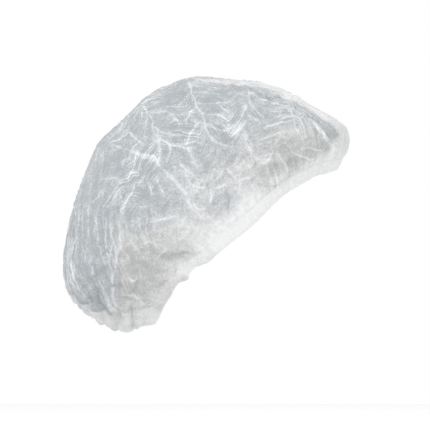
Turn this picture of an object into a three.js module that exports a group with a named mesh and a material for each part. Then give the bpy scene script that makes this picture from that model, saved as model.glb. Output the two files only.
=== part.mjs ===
import * as THREE from "three";

// Millimetres. +Z up, +X to the wearer's front, +Y to the wearer's left.
// The origin is the middle of the head opening.

const size = {
  length: 255.5,
  height: 228,
  halfWidth: 107,
  lengthBehindOrigin: 0.635,
  heightBelowOrigin: 0.336,
  crownWall: 1.4,
  gap: 0.3,
  hemWidth: 12,
  hemWall: 1.1,
  elasticWidth: 6,
  elasticThickness: 1,
  pleatDepth: 2.2,
  foldHeight: 2.6,
  foldWidth: 9,
  tuckHeight: 2.2,
};

const pleatCount = 44;
const lowerSegments = 4 * pleatCount;
const upperSegments = 2 * pleatCount;

// Rings of the crown from the hem up to the middle of the sheet.
// frontX, backX are shares of the length, from the back bulge.
// frontZ, backZ, rise and sag are shares of the height, from the lowest pleat.
// wide is a share of halfWidth, forward shifts the widest place to the front and
// pleat is a share of pleatDepth.
const levelColumns = ["frontX", "frontZ", "backX", "backZ", "wide", "rise", "sag", "forward", "pleat"];
const levelRows = [
  [0.955, 0.640, 0.316, 0.032, 0.690, 0.051, 0.000, 0.000, 0.00],
  [0.981, 0.688, 0.264, 0.016, 0.739, 0.095, 0.008, 0.010, 0.30],
  [1.000, 0.751, 0.181, 0.010, 0.824, 0.119, 0.047, 0.030, 1.00],
  [0.990, 0.800, 0.090, 0.065, 0.899, 0.115, 0.075, 0.050, 1.00],
  [0.941, 0.842, 0.013, 0.146, 0.958, 0.099, 0.083, 0.060, 0.85],
  [0.875, 0.881, -0.006, 0.253, 0.992, 0.079, 0.071, 0.060, 0.65],
  [0.795, 0.937, 0.009, 0.378, 0.966, 0.059, 0.047, 0.050, 0.45],
  [0.698, 0.974, 0.036, 0.508, 0.866, 0.040, 0.024, 0.040, 0.30],
  [0.583, 0.990, 0.073, 0.623, 0.706, 0.020, 0.008, 0.020, 0.20],
  [0.448, 0.997, 0.115, 0.733, 0.496, 0.008, 0.000, 0.010, 0.10],
  [0.302, 0.933, 0.167, 0.787, 0.235, 0.000, 0.000, 0.000, 0.00],
  [0.193, 0.812, 0.193, 0.812, 0.000, 0.000, 0.000, 0.000, 0.00],
];

// The hem line's own waves. along runs from the front (0) to the nape (1),
// rise is a share of the height.
const hemColumns = ["along", "rise"];
const hemRows = [
  [0.000, 0.000],
  [0.140, 0.028],
  [0.290, 0.036],
  [0.480, 0.012],
  [0.690, 0.024],
  [0.800, 0.058],
  [0.875, 0.063],
  [0.935, 0.037],
  [1.000, 0.000],
];

// Folds that stand out of the cloth or sink into it.
// round runs from the front (0) to the nape (0.5), up from the hem (0) to the middle
// of the sheet (1), height is a share of foldHeight and wide a share of foldWidth.
const foldColumns = ["fromRound", "fromUp", "toRound", "toUp", "height", "wide"];
const foldRows = [
  [0.472, 0.815, 0.330, 0.720, 1.00, 1.0],
  [0.330, 0.720, 0.288, 0.600, 1.00, 1.0],
  [0.288, 0.600, 0.265, 0.355, 1.00, 1.1],
  [0.265, 0.355, 0.270, 0.200, 0.80, 1.0],
  [0.232, 0.865, 0.260, 0.610, 0.80, 1.0],
  [0.115, 0.800, 0.200, 0.645, 0.90, 1.0],
  [0.200, 0.645, 0.218, 0.360, 0.80, 1.0],
  [0.090, 0.645, 0.150, 0.500, 0.90, 1.0],
  [0.150, 0.500, 0.190, 0.300, 0.80, 1.0],
  [0.060, 0.500, 0.132, 0.230, 0.80, 1.0],
  [0.030, 0.300, 0.095, 0.165, 0.70, 0.9],
  [0.392, 0.640, 0.415, 0.300, 0.60, 0.9],
  [0.455, 0.640, 0.462, 0.300, 0.60, 0.9],
  [0.362, 0.500, 0.385, 0.260, -1.00, 1.8],
  [0.315, 0.520, 0.320, 0.260, -0.90, 1.6],
  [0.235, 0.600, 0.238, 0.330, -0.90, 1.6],
  [0.165, 0.700, 0.180, 0.480, -0.80, 1.5],
  [0.425, 0.560, 0.438, 0.340, -0.80, 1.4],
];

// Levels where the crown's rows of corners lie, as a share from hem to middle.
const lowerLevels = [0.145, 0.205, 0.27, 0.34, 0.42, 0.51];
const upperLevels = [0.59, 0.67, 0.75, 0.83, 0.90, 0.96];

const fullness = 2.5;
const sagBend = 3.2;
const tuckRound = 0.358;
const tuckSpan = 0.014;

function table(columns, rows) {
  return rows.map((row) => Object.fromEntries(columns.map((name, i) => [name, row[i]])));
}

const levels = table(levelColumns, levelRows);
const hemLine = table(hemColumns, hemRows);
const folds = table(foldColumns, foldRows);

function curve(a, b, c, d, f) {
  const square = f * f;
  const cube = square * f;
  const start = 2 * b + (c - a) * f;
  return 0.5 * (start + (2 * a - 5 * b + 4 * c - d) * square + (3 * b - a - 3 * c + d) * cube);
}

function ease(share) {
  const f = Math.min(Math.max(share, 0), 1);
  return f * f * (3 - 2 * f);
}

function levelAt(up) {
  const last = levels.length - 1;
  const place = Math.min(Math.max(up, 0), 1) * last;
  const i = Math.min(Math.floor(place), last - 1);
  const f = place - i;
  const level = {};
  for (const name of levelColumns) {
    const b = levels[i][name];
    const c = levels[i + 1][name];
    const a = i > 0 ? levels[i - 1][name] : 2 * b - c;
    const d = i + 2 <= last ? levels[i + 2][name] : 2 * c - b;
    level[name] = curve(a, b, c, d, f);
  }
  return level;
}

function hemRise(along) {
  const last = hemLine.length - 1;
  let i = 0;
  while (i < last - 1 && hemLine[i + 1].along < along) {
    i += 1;
  }
  const here = hemLine[i];
  const next = hemLine[i + 1];
  const eased = ease((along - here.along) / (next.along - here.along));
  return here.rise + (next.rise - here.rise) * eased;
}

// One corner of a ring; angle runs from the front (0) past the right side to the nape (PI).
function ringPoint(level, up, angle) {
  const cosine = Math.cos(angle);
  const sine = Math.abs(Math.sin(angle));
  const across = Math.pow(sine, 2 / fullness);
  const lengthwise = Math.sign(cosine) * Math.pow(Math.abs(cosine), 2 / fullness);
  const shifted = (1 - lengthwise) / 2 - level.forward * across * across;
  const along = Math.min(Math.max(shifted, 0), 1);
  const hemFade = 1 - ease((up - 0.1) / 0.32);
  const lift = level.rise * Math.sin(Math.PI * along) + hemRise(along) * hemFade;
  const drop = level.sag * Math.sin(Math.PI * Math.pow(along, sagBend));
  const shareX = level.frontX + (level.backX - level.frontX) * along;
  const shareZ = level.frontZ + (level.backZ - level.frontZ) * along + lift - drop;
  return new THREE.Vector3(
    (shareX - size.lengthBehindOrigin) * size.length,
    -level.wide * size.halfWidth * across,
    (shareZ - size.heightBelowOrigin) * size.height,
  );
}

// A whole ring with its corners evenly spaced along it, the left side mirrored.
function smoothRing(up, count) {
  const level = levelAt(up);
  const fine = 360;
  const points = [];
  const lengths = [0];
  for (let k = 0; k <= fine; k += 1) {
    points.push(ringPoint(level, up, (Math.PI * k) / fine));
    if (k > 0) {
      lengths.push(lengths[k - 1] + points[k].distanceTo(points[k - 1]));
    }
  }
  const half = count / 2;
  const right = [];
  let i = 0;
  for (let j = 0; j <= half; j += 1) {
    const wanted = (lengths[fine] * j) / half;
    while (i < fine - 1 && lengths[i + 1] < wanted) {
      i += 1;
    }
    const f = Math.min((wanted - lengths[i]) / (lengths[i + 1] - lengths[i]), 1);
    right.push(points[i].clone().lerp(points[i + 1], f));
  }
  const left = right.slice(1, half).reverse().map((p) => new THREE.Vector3(p.x, -p.y, p.z));
  return right.concat(left);
}

function foldShape(round, up) {
  const side = Math.min(round, 1 - round);
  const girth = 3.2 * size.length;
  const reach = 1.15 * size.length;
  let total = 0;
  for (const fold of folds) {
    const spanRound = (fold.toRound - fold.fromRound) * girth;
    const spanUp = (fold.toUp - fold.fromUp) * reach;
    const offRound = (side - fold.fromRound) * girth;
    const offUp = (up - fold.fromUp) * reach;
    const squared = spanRound * spanRound + spanUp * spanUp;
    const along = (offRound * spanRound + offUp * spanUp) / squared;
    const nearest = Math.min(Math.max(along, 0), 1);
    const missRound = offRound - nearest * spanRound;
    const missUp = offUp - nearest * spanUp;
    const width = fold.wide * size.foldWidth;
    const distance = (missRound * missRound + missUp * missUp) / (width * width);
    total += fold.height * size.foldHeight * Math.exp(-distance);
  }
  return total;
}

// How far the cloth stands out of the smooth shape at a place.
function relief(round, up) {
  const level = levelAt(up);
  const unevenness = 0.85 + 0.15 * Math.cos(2 * Math.PI * 7 * round);
  const pleat = level.pleat * size.pleatDepth * Math.cos(2 * Math.PI * pleatCount * round);
  const fade = Math.min(Math.max((up - 0.1) * 10, 0), 1);
  return pleat * unevenness + foldShape(round, up) * fade;
}

function normalsOf(ring, above, below) {
  return ring.map((point, j) => {
    const count = ring.length;
    const next = ring[(j + 1) % count];
    const previous = ring[(j + count - 1) % count];
    const roundway = next.clone().sub(previous);
    const upway = above[j].clone().sub(below[j]);
    return upway.cross(roundway).normalize();
  });
}

function offset(ring, normals, amount) {
  return ring.map((point, j) => {
    const distance = typeof amount === "function" ? amount(j) : amount;
    return point.clone().addScaledVector(normals[j], distance);
  });
}

// The straight strip next to the hem line: where it starts, its way up and its face.
function hemStrip(count) {
  const edge = smoothRing(0, count);
  const above = smoothRing(0.1, count);
  const ways = above.map((point, j) => point.clone().sub(edge[j]).normalize());
  const lifted = edge.map((point, j) => point.clone().add(ways[j]));
  const faces = normalsOf(edge, lifted, edge);
  const tuck = (j) => {
    const off = (j / count - tuckRound) / tuckSpan;
    return size.tuckHeight * Math.exp(-off * off);
  };
  const line = offset(edge, faces, tuck);
  return {
    at(up, out) {
      return line.map((point, j) => {
        const raised = point.clone().addScaledVector(ways[j], up);
        return raised.addScaledVector(faces[j], out);
      });
    },
  };
}

function doubled(ring) {
  const finer = [];
  ring.forEach((point, j) => {
    const next = ring[(j + 1) % ring.length];
    finer.push(point, point.clone().lerp(next, 0.5));
  });
  return finer;
}

class Surface {
  constructor() {
    this.positions = [];
    this.faces = [];
  }

  add(point) {
    this.positions.push(point.x, point.y, point.z);
    return this.positions.length / 3 - 1;
  }

  addRing(ring) {
    return ring.map((point) => this.add(point));
  }

  face(a, b, c, inward) {
    if (inward) {
      this.faces.push(a, b, c);
    } else {
      this.faces.push(a, c, b);
    }
  }

  // Joins a ring to the one above it; the upper ring may have half as many corners.
  join(low, high, inward) {
    const ratio = low.length / high.length;
    for (let k = 0; k < high.length; k += 1) {
      const nextHigh = high[(k + 1) % high.length];
      const a = low[k * ratio];
      const middle = low[(k * ratio + 1) % low.length];
      if (ratio === 1) {
        this.face(a, middle, nextHigh, inward);
        this.face(a, nextHigh, high[k], inward);
      } else {
        const b = low[(k * ratio + 2) % low.length];
        this.face(a, middle, high[k], inward);
        this.face(middle, nextHigh, high[k], inward);
        this.face(middle, b, nextHigh, inward);
      }
    }
  }

  close(ring, tip, inward) {
    ring.forEach((corner, k) => {
      this.face(corner, ring[(k + 1) % ring.length], tip, inward);
    });
  }

  mesh(name, material) {
    const geometry = new THREE.BufferGeometry();
    geometry.setAttribute("position", new THREE.Float32BufferAttribute(this.positions, 3));
    geometry.setIndex(this.faces);
    geometry.computeVertexNormals();
    const mesh = new THREE.Mesh(geometry, material);
    mesh.name = name;
    return mesh;
  }
}

function crownSkin(surface, outward, inward) {
  const strip = hemStrip(upperSegments);
  const rings = [doubled(strip.at(0, outward)), doubled(strip.at(size.hemWidth + 1, outward))];
  const step = 0.01;
  const build = (up, count) => {
    const ring = smoothRing(up, count);
    const above = smoothRing(up + step, count);
    const below = smoothRing(up - step, count);
    const normals = normalsOf(ring, above, below);
    return offset(ring, normals, (j) => relief(j / count, up) + outward);
  };
  for (const up of lowerLevels) {
    rings.push(build(up, lowerSegments));
  }
  for (const up of upperLevels) {
    rings.push(build(up, upperSegments));
  }
  const indexed = rings.map((ring) => surface.addRing(ring));
  for (let i = 0; i + 1 < indexed.length; i += 1) {
    surface.join(indexed[i], indexed[i + 1], inward);
  }
  const tip = ringPoint(levelAt(1), 1, 0);
  const lean = new THREE.Vector3(-0.66, 0, 0.75);
  const tipIndex = surface.add(tip.addScaledVector(lean, outward));
  surface.close(indexed[indexed.length - 1], tipIndex, inward);
  return indexed[0];
}

function crown(material) {
  const surface = new Surface();
  const outside = crownSkin(surface, size.crownWall / 2, false);
  const inside = crownSkin(surface, -size.crownWall / 2, true);
  surface.join(inside, outside, false);
  return surface.mesh("crown", material);
}

// Sweeps a closed outline of [up, out] corners round the hem line.
function sweep(name, outline, material) {
  const surface = new Surface();
  const strip = hemStrip(upperSegments);
  const rings = outline.map(([up, out]) => surface.addRing(strip.at(up, out)));
  rings.forEach((ring, i) => {
    surface.join(ring, rings[(i + 1) % rings.length], false);
  });
  return surface.mesh(name, material);
}

function hemCasing(material) {
  const clothHalf = size.crownWall / 2;
  const outerNear = clothHalf + size.gap;
  const outerFar = outerNear + size.hemWall;
  const innerNear = -(clothHalf + size.gap + size.elasticThickness + size.gap);
  const innerFar = innerNear - size.hemWall;
  const floor = -size.gap;
  const outline = [
    [floor - size.hemWall, innerFar],
    [floor - size.hemWall, outerFar],
    [size.hemWidth, outerFar],
    [size.hemWidth, outerNear],
    [floor, outerNear],
    [floor, innerNear],
    [size.hemWidth, innerNear],
    [size.hemWidth, innerFar],
  ];
  return sweep("hem_casing", outline, material);
}

function elasticBand(material) {
  const near = -(size.crownWall / 2 + size.gap);
  const far = near - size.elasticThickness;
  const low = (size.hemWidth - size.elasticWidth) / 2;
  const outline = [
    [low, far],
    [low, near],
    [low + size.elasticWidth, near],
    [low + size.elasticWidth, far],
  ];
  return sweep("elastic_band", outline, material);
}

const crownCloth = new THREE.MeshStandardMaterial({ color: 0xdfe3e7, roughness: 0.85 });
crownCloth.name = "crown_cloth";
const hemCloth = new THREE.MeshStandardMaterial({ color: 0xf1f3f4, roughness: 0.85 });
hemCloth.name = "hem_cloth";
const elasticRubber = new THREE.MeshStandardMaterial({ color: 0xf4f3ee, roughness: 0.7 });
elasticRubber.name = "elastic_rubber";

const part = new THREE.Group();
part.name = "disposable_hair_cap";
part.add(crown(crownCloth));
part.add(hemCasing(hemCloth));
part.add(elasticBand(elasticRubber));

export default part;
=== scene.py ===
"""Disposable hair cap: a gathered non-woven crown, its folded hem and the elastic inside it."""

import math

import bpy
import numpy as np
from bpy.props import FloatProperty, FloatVectorProperty, IntProperty, PointerProperty
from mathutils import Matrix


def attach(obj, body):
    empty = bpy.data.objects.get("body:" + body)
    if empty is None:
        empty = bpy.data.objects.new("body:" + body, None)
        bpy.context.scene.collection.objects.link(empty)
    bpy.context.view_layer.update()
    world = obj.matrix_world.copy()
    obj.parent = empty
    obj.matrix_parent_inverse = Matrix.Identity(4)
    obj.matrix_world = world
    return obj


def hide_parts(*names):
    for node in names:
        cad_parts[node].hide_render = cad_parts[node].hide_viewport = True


bl_info = {
    "name": "Disposable Hair Cap",
    "version": (1, 0, 0),
    "blender": (4, 5, 0),
    "location": "View3D > Sidebar > Hair Cap",
    "description": "Makes the crown, hem and stitches of a disposable hair cap and its studio",
    "category": "Add Mesh",
}

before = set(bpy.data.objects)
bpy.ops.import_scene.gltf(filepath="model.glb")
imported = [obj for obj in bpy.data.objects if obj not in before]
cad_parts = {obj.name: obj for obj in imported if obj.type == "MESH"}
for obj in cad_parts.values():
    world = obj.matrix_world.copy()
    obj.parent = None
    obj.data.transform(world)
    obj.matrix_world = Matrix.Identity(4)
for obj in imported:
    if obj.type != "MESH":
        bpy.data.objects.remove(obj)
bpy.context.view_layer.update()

# Rings of the crown from the hem up to the middle of the sheet, as shares of the cap's
# length (front_x, back_x, from the back bulge) and height (front_z, back_z, rise, sag).
LEVEL_COLUMNS = (
    "front_x", "front_z", "back_x", "back_z", "wide", "rise", "sag", "forward",
)
LEVELS = np.array([
    (0.955, 0.640, 0.316, 0.032, 0.690, 0.051, 0.000, 0.000),
    (0.981, 0.688, 0.264, 0.016, 0.739, 0.095, 0.008, 0.010),
    (1.000, 0.751, 0.181, 0.010, 0.824, 0.119, 0.047, 0.030),
    (0.990, 0.800, 0.090, 0.065, 0.899, 0.115, 0.075, 0.050),
    (0.941, 0.842, 0.013, 0.146, 0.958, 0.099, 0.083, 0.060),
    (0.875, 0.881, -0.006, 0.253, 0.992, 0.079, 0.071, 0.060),
    (0.795, 0.937, 0.009, 0.378, 0.966, 0.059, 0.047, 0.050),
    (0.698, 0.974, 0.036, 0.508, 0.866, 0.040, 0.024, 0.040),
    (0.583, 0.990, 0.073, 0.623, 0.706, 0.020, 0.008, 0.020),
    (0.448, 0.997, 0.115, 0.733, 0.496, 0.008, 0.000, 0.010),
    (0.302, 0.933, 0.167, 0.787, 0.235, 0.000, 0.000, 0.000),
    (0.193, 0.812, 0.193, 0.812, 0.000, 0.000, 0.000, 0.000),
])

# The hem line's waves: place from the front (0) to the nape (1), rise as a share of height.
HEM_LINE = np.array([
    (0.000, 0.000),
    (0.140, 0.028),
    (0.290, 0.036),
    (0.480, 0.012),
    (0.690, 0.024),
    (0.800, 0.058),
    (0.875, 0.063),
    (0.935, 0.037),
    (1.000, 0.000),
])

# Packing folds that cross the crown from side to side. x is a share of the length at the
# top, lean is how far it moves forward going down, shift sets where its side folds start,
# valley is where they are lowest on the way to the next spine, fall is how far, in mm.
SPINE_COLUMNS = ("x", "lean", "shift", "valley", "fall")
SPINES = [dict(zip(SPINE_COLUMNS, row)) for row in (
    (-0.060, 0.00, 0.10, 0.50, 14.0),
    (0.120, 0.26, 0.45, 0.42, 15.0),
    (0.287, 0.25, 0.00, 0.66, 17.0),
    (0.429, 0.38, 0.35, 0.60, 14.0),
    (0.641, -0.06, 0.80, 0.42, 13.0),
    (0.817, -0.17, 0.20, 0.55, 12.0),
    (0.985, 0.00, 0.55, 0.50, 8.0),
    (1.140, 0.00, 0.00, 0.50, 8.0),
)]

# What a fold of the sides is like: height, width, its line's width in mm, brightness. The shade
# kind's negative brightness paints the shadow beside a fold as a dark line.
FOLD_KINDS = {
    "wide": (1.9, 5.5, 2.9, 1.15),
    "band": (1.5, 5.0, 2.2, 0.78),
    "crease": (1.0, 3.4, 1.45, 0.98),
    "fine": (0.60, 2.6, 1.20, 0.92),
    "shade": (-1.1, 3.2, 1.5, -0.80),
}

# The folds of the sides, a row for each: a bow through three places, which are shares of
# the length and the height.
FOLD_COLUMNS = ("x0", "z0", "x1", "z1", "x2", "z2")
FOLDS = {
    "wide": (
        (0.83, 0.86, 0.89, 0.78, 0.95, 0.70), (0.03, 0.27, 0.05, 0.185, 0.105, 0.085),
        (0.12, 0.22, 0.15, 0.16, 0.175, 0.07), (0.175, 0.18, 0.18, 0.125, 0.185, 0.07),
    ),
    "band": (
        (0.435, 0.72, 0.45, 0.685, 0.475, 0.635), (0.235, 0.70, 0.295, 0.68, 0.35, 0.64),
        (0.35, 0.64, 0.395, 0.58, 0.435, 0.52),
    ),
    "crease": (
        (0.44, 0.975, 0.455, 0.91, 0.495, 0.815), (0.495, 0.815, 0.515, 0.75, 0.59, 0.715),
        (0.465, 0.87, 0.435, 0.835, 0.425, 0.795), (0.48, 0.82, 0.45, 0.775, 0.43, 0.725),
        (0.50, 0.84, 0.54, 0.84, 0.575, 0.815), (0.485, 0.825, 0.52, 0.79, 0.575, 0.775),
        (0.64, 0.955, 0.645, 0.925, 0.65, 0.88), (0.645, 0.885, 0.63, 0.855, 0.62, 0.825),
        (0.64, 0.82, 0.615, 0.785, 0.585, 0.755), (0.315, 0.80, 0.36, 0.77, 0.42, 0.76),
        (0.30, 0.85, 0.34, 0.855, 0.38, 0.845), (0.335, 0.78, 0.36, 0.735, 0.435, 0.71),
        (0.34, 0.76, 0.34, 0.71, 0.345, 0.66), (0.37, 0.73, 0.375, 0.69, 0.36, 0.65),
        (0.27, 0.695, 0.315, 0.68, 0.345, 0.645), (0.64, 0.935, 0.71, 0.895, 0.795, 0.875),
        (0.65, 0.885, 0.675, 0.85, 0.70, 0.815), (0.64, 0.85, 0.665, 0.815, 0.69, 0.79),
        (0.69, 0.79, 0.73, 0.80, 0.77, 0.815), (0.69, 0.745, 0.73, 0.76, 0.775, 0.77),
        (0.80, 0.855, 0.82, 0.82, 0.835, 0.785), (0.74, 0.705, 0.765, 0.665, 0.78, 0.615),
        (0.16, 0.725, 0.195, 0.72, 0.235, 0.70), (0.435, 0.52, 0.445, 0.495, 0.455, 0.47),
        (0.225, 0.78, 0.255, 0.755, 0.28, 0.715), (0.255, 0.58, 0.235, 0.525, 0.20, 0.465),
        (0.405, 0.66, 0.43, 0.625, 0.47, 0.605), (0.425, 0.61, 0.45, 0.575, 0.505, 0.55),
        (0.565, 0.635, 0.58, 0.615, 0.60, 0.585), (0.60, 0.615, 0.62, 0.645, 0.635, 0.665),
        (0.20, 0.15, 0.245, 0.14, 0.265, 0.12), (0.095, 0.28, 0.105, 0.24, 0.12, 0.22),
        (0.175, 0.44, 0.175, 0.39, 0.18, 0.35), (0.18, 0.35, 0.19, 0.29, 0.185, 0.24),
        (0.185, 0.24, 0.175, 0.21, 0.175, 0.18),
    ),
    "fine": (
        (0.44, 0.935, 0.42, 0.90, 0.40, 0.875), (0.45, 0.935, 0.50, 0.93, 0.55, 0.92),
        (0.465, 0.895, 0.52, 0.885, 0.59, 0.895), (0.54, 0.895, 0.55, 0.865, 0.585, 0.85),
        (0.62, 0.825, 0.59, 0.79, 0.565, 0.785), (0.27, 0.875, 0.295, 0.855, 0.315, 0.80),
        (0.38, 0.845, 0.395, 0.82, 0.405, 0.79), (0.295, 0.845, 0.29, 0.80, 0.28, 0.74),
        (0.31, 0.815, 0.32, 0.765, 0.335, 0.735), (0.80, 0.875, 0.80, 0.815, 0.84, 0.71),
        (0.79, 0.70, 0.83, 0.675, 0.87, 0.67), (0.815, 0.705, 0.86, 0.705, 0.905, 0.70),
        (0.73, 0.705, 0.71, 0.665, 0.675, 0.65), (0.155, 0.735, 0.19, 0.745, 0.225, 0.775),
        (0.215, 0.705, 0.215, 0.67, 0.205, 0.63), (0.255, 0.695, 0.25, 0.645, 0.22, 0.575),
        (0.21, 0.585, 0.175, 0.535, 0.14, 0.48), (0.30, 0.61, 0.275, 0.585, 0.255, 0.555),
        (0.14, 0.715, 0.14, 0.66, 0.13, 0.60), (0.12, 0.72, 0.11, 0.655, 0.095, 0.59),
        (0.125, 0.60, 0.165, 0.595, 0.20, 0.585), (0.505, 0.55, 0.515, 0.52, 0.51, 0.485),
        (0.57, 0.575, 0.55, 0.56, 0.525, 0.555), (0.595, 0.57, 0.625, 0.59, 0.665, 0.595),
        (0.675, 0.635, 0.70, 0.65, 0.725, 0.675), (0.45, 0.515, 0.475, 0.48, 0.505, 0.48),
        (0.36, 0.325, 0.335, 0.29, 0.31, 0.26), (0.285, 0.335, 0.305, 0.35, 0.35, 0.31),
        (0.22, 0.215, 0.25, 0.20, 0.27, 0.215), (0.195, 0.31, 0.20, 0.26, 0.225, 0.22),
        (0.265, 0.12, 0.29, 0.11, 0.315, 0.105), (0.095, 0.50, 0.09, 0.425, 0.095, 0.355),
        (0.12, 0.47, 0.12, 0.395, 0.13, 0.32), (0.15, 0.45, 0.155, 0.37, 0.155, 0.28),
        (0.18, 0.35, 0.165, 0.29, 0.17, 0.235), (0.20, 0.445, 0.20, 0.385, 0.205, 0.325),
        (0.075, 0.50, 0.07, 0.385, 0.08, 0.255), (0.15, 0.47, 0.185, 0.525, 0.22, 0.575),
        (0.095, 0.505, 0.12, 0.515, 0.14, 0.56), (0.305, 0.425, 0.36, 0.44, 0.415, 0.445),
        (0.29, 0.585, 0.31, 0.555, 0.305, 0.515), (0.325, 0.61, 0.345, 0.565, 0.36, 0.52),
        (0.63, 0.725, 0.65, 0.705, 0.655, 0.67),
    ),
    # Painted fold shadows: dark lines, each along a small groove.
    "shade": (
        (0.84, 0.86, 0.88, 0.81, 0.93, 0.745), (0.675, 0.575, 0.715, 0.565, 0.755, 0.57),
        (0.725, 0.555, 0.715, 0.53, 0.67, 0.51), (0.375, 0.29, 0.41, 0.305, 0.445, 0.305),
        (0.445, 0.305, 0.485, 0.31, 0.525, 0.305), (0.21, 0.14, 0.235, 0.13, 0.265, 0.11),
        (0.20, 0.31, 0.20, 0.23, 0.20, 0.15), (0.55, 0.54, 0.575, 0.515, 0.575, 0.46),
    ),
}

# The lower edge of the thin upper layer at the back, as height by length.
LAYER_EDGE = np.array([
    (-0.10, 0.200), (0.02, 0.142), (0.09, 0.070), (0.15, 0.062), (0.20, 0.078), (0.30, 0.078),
])

# The edges of the pale border where two layers meet: along the top, and along the hem.
BORDER_TOP = np.array([
    (0.40, 1.02), (0.47, 0.975), (0.60, 0.962), (0.68, 0.956),
    (0.75, 0.925), (0.84, 0.877), (0.93, 0.812), (0.962, 0.763),
])
BORDER_HEM = np.array([
    (0.60, 0.38), (0.69, 0.48), (0.75, 0.567), (0.82, 0.627), (0.91, 0.68), (0.962, 0.763),
])

# Lighter and darker fields of the side. The lighter ones lie where more layers lie behind one
# another; the darker ones paint the side darker, partly as painted shade of its folds.
# x and z are shares of length and height, reach in millimetres, pale and cool are added.
FIELD_COLUMNS = ("x", "z", "reach_x", "reach_z", "pale", "cool")
FIELDS = [dict(zip(FIELD_COLUMNS, row)) for row in (
    (0.30, 0.25, 26.0, 25.0, -0.20, -0.20),
    (0.54, 0.66, 20.0, 11.0, -0.06, -0.60),
    (0.70, 0.64, 24.0, 16.0, -0.02, -0.80),
    (0.86, 0.70, 34.0, 22.0, 0.08, -0.90),
    (0.77, 0.76, 22.0, 12.0, 0.00, -0.50),
    (0.60, 0.38, 40.0, 22.0, 0.24, -0.50),
    (0.45, 0.36, 30.0, 16.0, 0.32, -0.30),
    (0.65, 0.50, 20.0, 22.0, 0.22, -0.40),
    (0.76, 0.52, 30.0, 10.0, 0.20, -0.60),
    (0.48, 0.44, 26.0, 16.0, 0.26, -0.10),
    (0.57, 0.51, 15.0, 9.0, 0.00, 0.40),
    (0.41, 0.30, 14.0, 7.0, -0.24, 0.30),
    (0.33, 0.10, 24.0, 14.0, 0.08, -0.60),
    (0.405, 0.24, 18.0, 10.0, 0.60, -0.50),
    (0.34, 0.15, 14.0, 20.0, 0.14, -0.50),
    (0.44, 0.56, 26.0, 16.0, 0.24, -0.25),
    (0.52, 0.53, 26.0, 16.0, 0.16, -0.15),
    (0.60, 0.56, 18.0, 9.0, 0.14, -0.10),
    (0.11, 0.22, 22.0, 34.0, -0.10, 0.00),
    (0.09, 0.42, 24.0, 20.0, -0.14, 0.00),
    (0.44, 0.92, 40.0, 12.0, -0.12, 0.00),
    (0.60, 0.74, 16.0, 12.0, 0.14, -0.10),
    (0.65, 0.62, 14.0, 12.0, 0.28, -0.10),
    (0.75, 0.80, 9.0, 7.0, -0.14, 0.00),
    (0.74, 0.59, 13.0, 10.0, -0.20, 0.00),
    (0.35, 0.43, 22.0, 11.0, 0.18, -0.20),
    (0.21, 0.63, 12.0, 12.0, -0.14, 0.00),
    (0.30, 0.06, 10.0, 10.0, -0.16, 0.00),
    (0.69, 0.51, 9.0, 8.0, -0.24, 0.00),
    (0.48, 0.75, 14.0, 10.0, -0.10, 0.00),
    (0.425, 0.21, 5.0, 6.0, -0.55, 0.00),
)]

FOLD_LANES = ("fold_a", "fold_b", "fold_c")
MILLIMETRES = 1000

# The crown's section: how full its rings are, where its sag lies, and the origin's place as
# shares of the length and the height.
FULLNESS = 2.5
SAG_BEND = 3.2
BEHIND_ORIGIN = 0.635
BELOW_ORIGIN = 0.336

# Corners of the crown. Below each share of the way from the hem to the middle of the sheet,
# a ring has SEGMENTS corners divided by the second number.
ROW_COUNT = 198
SEGMENTS = 560
RING_STEPS = ((0.60, 1), (0.86, 2), (0.96, 4), (1.00, 8))

# The straight strip by the hem ends at this share of the way up, and the crown is free of
# the hem's folded cloth from the second.
STRIP_END = 0.1
HEM_TOP = 0.085

# Heights of the crown's relief, in metres.
FINE_GATHER = 0.0007
PACKING_FOLD = 0.0020
SPINE_RIDGE = 0.0005
HANGING_FOLD = 0.0015
UNDER_RUFFLE = 0.0046
WRINKLE = 0.00095
FINE_WRINKLE = 0.00040
WRINKLE_MEAN = 0.0013
RISE_OVER_HEM = 0.0011

# Distances over the crown, in metres.
HANG_STEP = 0.0098
RUFFLE_STEP = 0.0120
SPINE_REACH = 0.0016
FOLD_MARGIN = 0.007
FOLD_END = 0.005

# The hem's own small forms, in metres: the tuck's rise and lobe, the ruffle of its edge, where
# its cloth lies in and out of the hem line, and where its seam runs.
TUCK_RISE = 0.0022
TUCK_LOBE = 0.0032
EDGE_RUFFLE = 0.00035
HEM_OUTER = 0.0011
HEM_INNER = -0.0029
HEM_BELOW = 0.0013
SEAM_FROM_TOP = 0.0016
SEAM_OUT = 0.00088

# The view: how far away it stands, how wide it is there and its middle, in metres.
VIEW_AWAY = 3.2
VIEW_WIDTH = 0.387
VIEW_X = -0.027
VIEW_Z = 0.027
SENSOR_WIDTH = 36.0
FLOOR_HALF = 2.2
FLOOR_LEVEL = -0.26
LIGHTS_AIM = (-0.03, 0.0, 0.03)
LIGHTS = (
    ("key_light", (-0.9, -1.5, 1.3), 0.9, 13.0),
    ("fill_light", (1.5, -1.2, 0.5), 1.2, 3.0),
    ("back_light", (0.2, 1.6, 1.2), 1.2, 6.0),
)


def metres(name, description, default, low, high):
    return FloatProperty(
        name=name, description=description, default=default, min=low, max=high, unit="LENGTH",
    )


def paint(name, description, default):
    return FloatVectorProperty(
        name=name, description=description, subtype="COLOR", size=3, default=default,
        min=0.0, max=1.0,
    )


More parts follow.
